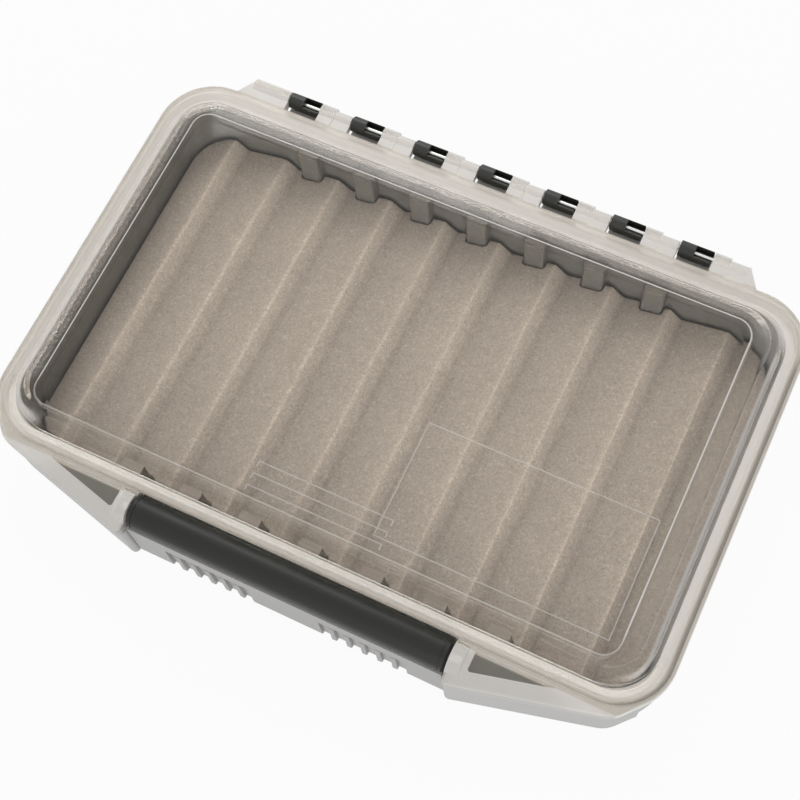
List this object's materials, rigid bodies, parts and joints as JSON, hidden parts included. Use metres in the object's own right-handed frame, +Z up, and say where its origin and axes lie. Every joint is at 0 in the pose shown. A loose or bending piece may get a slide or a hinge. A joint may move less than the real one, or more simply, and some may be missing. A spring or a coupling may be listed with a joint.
{
  "type": "fly box",
  "caption": "Shallow case with a clear hinged lid, ramp-ridged foam insert, rim seal and a front barrel latch with a ribbed lever.",
  "frame": {"origin": "middle of the case's length and of the lid rim's width, on the flat underside of the tray", "axes": "+X along the hinge to the right as seen from the latch side, +Y from the latch to the hinge, +Z up"},
  "size_m": [0.19, 0.1356, 0.0329],
  "materials": {
    "tray_plastic": "smooth satin grey moulded plastic",
    "lid_clear": "clear moulded plastic with a faint warm tint",
    "foam": "fine closed-cell foam, dull taupe",
    "seal_rubber": "pale dull seal rubber",
    "adhesive_film": "thin double-sided film",
    "pin_steel": "drawn steel rod",
    "barrel_black": "satin black grip plastic",
    "lever_grey": "satin grey moulded plastic",
    "clip_black": "satin black moulded plastic"
  },
  "bodies": {
    "base": {"base_tray": "tray_plastic", "seal_ring": "seal_rubber", "adhesive_sheet": "adhesive_film", "foam_insert": "foam", "hinge_pin": "pin_steel", "hinge_clip_1": "clip_black", "hinge_clip_2": "clip_black", "hinge_clip_3": "clip_black", "hinge_clip_4": "clip_black", "hinge_clip_5": "clip_black", "hinge_clip_6": "clip_black", "hinge_clip_7": "clip_black"},
    "lid": {"lid_shell": "lid_clear", "latch_pin": "pin_steel"},
    "latch": {"latch_barrel": "barrel_black", "latch_lever": "lever_grey"}
  },
  "joints": [
    {"name": "lid_hinge", "type": "hinge", "parent": "base", "child": "lid", "pos_m": [0, 0.0628, 0.022], "axis": [-1, 0, 0], "range_deg": [0, 180]},
    {"name": "latch_pivot", "type": "hinge", "parent": "lid", "child": "latch", "pos_m": [0, -0.0624, 0.0223], "axis": [-1, 0, 0], "range_deg": [0, 95]}
  ]
}
